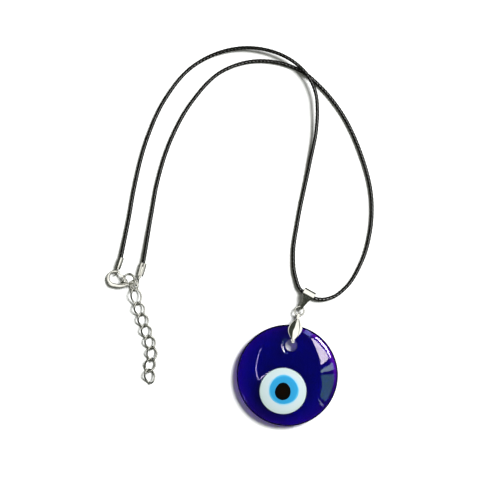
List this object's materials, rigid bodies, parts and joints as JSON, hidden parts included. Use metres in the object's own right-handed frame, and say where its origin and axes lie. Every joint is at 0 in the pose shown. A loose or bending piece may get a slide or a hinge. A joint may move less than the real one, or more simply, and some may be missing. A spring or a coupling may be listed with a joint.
{
  "type": "evil eye ornament",
  "caption": "Domed cobalt glass eye pendant hung by a leaf-shaped pinch clip and a bail on a thin waxed cord with a lobster clasp and a short chain, lying flat.",
  "frame": {"origin": "centre of the flat back face of the glass disc", "axes": "+Y from the eye up to the hanging hole, +X to the right seen from the front, +Z out of the domed front"},
  "size_m": [0.1003, 0.1457, 0.0075],
  "materials": {
    "cobalt_glass": "glossy translucent cobalt",
    "white_glass": "glossy opaque glass",
    "light_blue_glass": "glossy opaque glass",
    "black_glass": "glossy opaque glass",
    "waxed_cord": "waxed braid",
    "bright_metal": "polished plating"
  },
  "bodies": {
    "pendant": {"glass_disc": "cobalt_glass", "eye_white": "white_glass", "eye_blue": "light_blue_glass", "eye_pupil": "black_glass"},
    "clip": {"pinch_clip": "bright_metal"},
    "small_ring": {"clip_ring": "bright_metal"},
    "bail": {"cord_bail": "bright_metal"},
    "cord_loop": {"cord": "waxed_cord", "left_crimp": "bright_metal", "right_crimp": "bright_metal"},
    "join": {"join_ring": "bright_metal"},
    "side_ring": {"clasp_ring": "bright_metal"},
    "clasp": {"clasp_body": "bright_metal", "clasp_rivet": "bright_metal", "clasp_spring": "bright_metal"},
    "lever": {"clasp_lever": "bright_metal"},
    "link_1": {"chain_link_1": "bright_metal"},
    "link_2": {"chain_link_2": "bright_metal"},
    "link_3": {"chain_link_3": "bright_metal"},
    "link_4": {"chain_link_4": "bright_metal"},
    "link_5": {"chain_link_5": "bright_metal"},
    "link_6": {"chain_link_6": "bright_metal"},
    "link_7": {"chain_link_7": "bright_metal"},
    "link_8": {"chain_link_8": "bright_metal"}
  },
  "joints": [
    {"name": "clip_swing", "type": "hinge", "parent": "pendant", "child": "clip", "pos_m": [-0.00057, 0.01192, 0.003], "axis": [0, 0, 1], "range_deg": [-15, 15]},
    {"name": "ring_tilt", "type": "hinge", "parent": "clip", "child": "small_ring", "pos_m": [0.00022, 0.024, 0.00145], "axis": [0.9993, -0.0366, 0], "range_deg": [-30, 30]},
    {"name": "bail_tilt", "type": "hinge", "parent": "small_ring", "child": "bail", "pos_m": [0.00085, 0.02734, 0.00145], "axis": [0.9455, -0.3256, 0], "range_deg": [-30, 30]},
    {"name": "cord_roll", "type": "hinge", "parent": "bail", "child": "cord_loop", "pos_m": [0.00273, 0.0328, 0.00145], "axis": [0.9455, -0.3256, 0], "range_deg": [-35, 35]},
    {"name": "join_swing", "type": "hinge", "parent": "cord_loop", "child": "join", "pos_m": [-0.0653, 0.0251, 0.0017], "axis": [1, 0, 0], "range_deg": [-2, 4]},
    {"name": "side_ring_swing", "type": "hinge", "parent": "join", "child": "side_ring", "pos_m": [-0.0668, 0.0255, 0.0013], "axis": [1, 0, 0], "range_deg": [-1, 3]},
    {"name": "clasp_swing", "type": "hinge", "parent": "side_ring", "child": "clasp", "pos_m": [-0.06677, 0.02486, 0.00157], "axis": [0, 0, 1], "range_deg": [-1.5, 2]},
    {"name": "clasp_lever_turn", "type": "hinge", "parent": "clasp", "child": "lever", "pos_m": [-0.06965, 0.02539, 0.00125], "axis": [-0.1051, 0.0155, 0.9943], "range_deg": [0, 18], "stiffness_Nm_per_rad": 0.002, "deforming": ["clasp_spring"]},
    {"name": "link_1_swing", "type": "hinge", "parent": "join", "child": "link_1", "pos_m": [-0.0653, 0.0228, 0.00135], "axis": [0, 0, 1], "range_deg": [-8, 8]},
    {"name": "link_2_swing", "type": "hinge", "parent": "link_1", "child": "link_2", "pos_m": [-0.06325, 0.01753, 0.0012], "axis": [0, 0, 1], "range_deg": [-12, 12]},
    {"name": "link_3_swing", "type": "hinge", "parent": "link_2", "child": "link_3", "pos_m": [-0.06095, 0.01354, 0.00097], "axis": [0, 0, 1], "range_deg": [-12, 12]},
    {"name": "link_4_swing", "type": "hinge", "parent": "link_3", "child": "link_4", "pos_m": [-0.05894, 0.00941, 0.0008], "axis": [0, 0, 1], "range_deg": [-12, 12]},
    {"name": "link_5_swing", "type": "hinge", "parent": "link_4", "child": "link_5", "pos_m": [-0.05677, 0.00535, 0.00075], "axis": [0, 0, 1], "range_deg": [-12, 12]},
    {"name": "link_6_swing", "type": "hinge", "parent": "link_5", "child": "link_6", "pos_m": [-0.05461, 0.00129, 0.00075], "axis": [0, 0, 1], "range_deg": [-12, 12]},
    {"name": "link_7_swing", "type": "hinge", "parent": "link_6", "child": "link_7", "pos_m": [-0.05382, -0.00324, 0.00075], "axis": [0, 0, 1], "range_deg": [-12, 12]},
    {"name": "link_8_swing", "type": "hinge", "parent": "link_7", "child": "link_8", "pos_m": [-0.05446, -0.0078, 0.00075], "axis": [0, 0, 1], "range_deg": [-12, 12]}
  ]
}
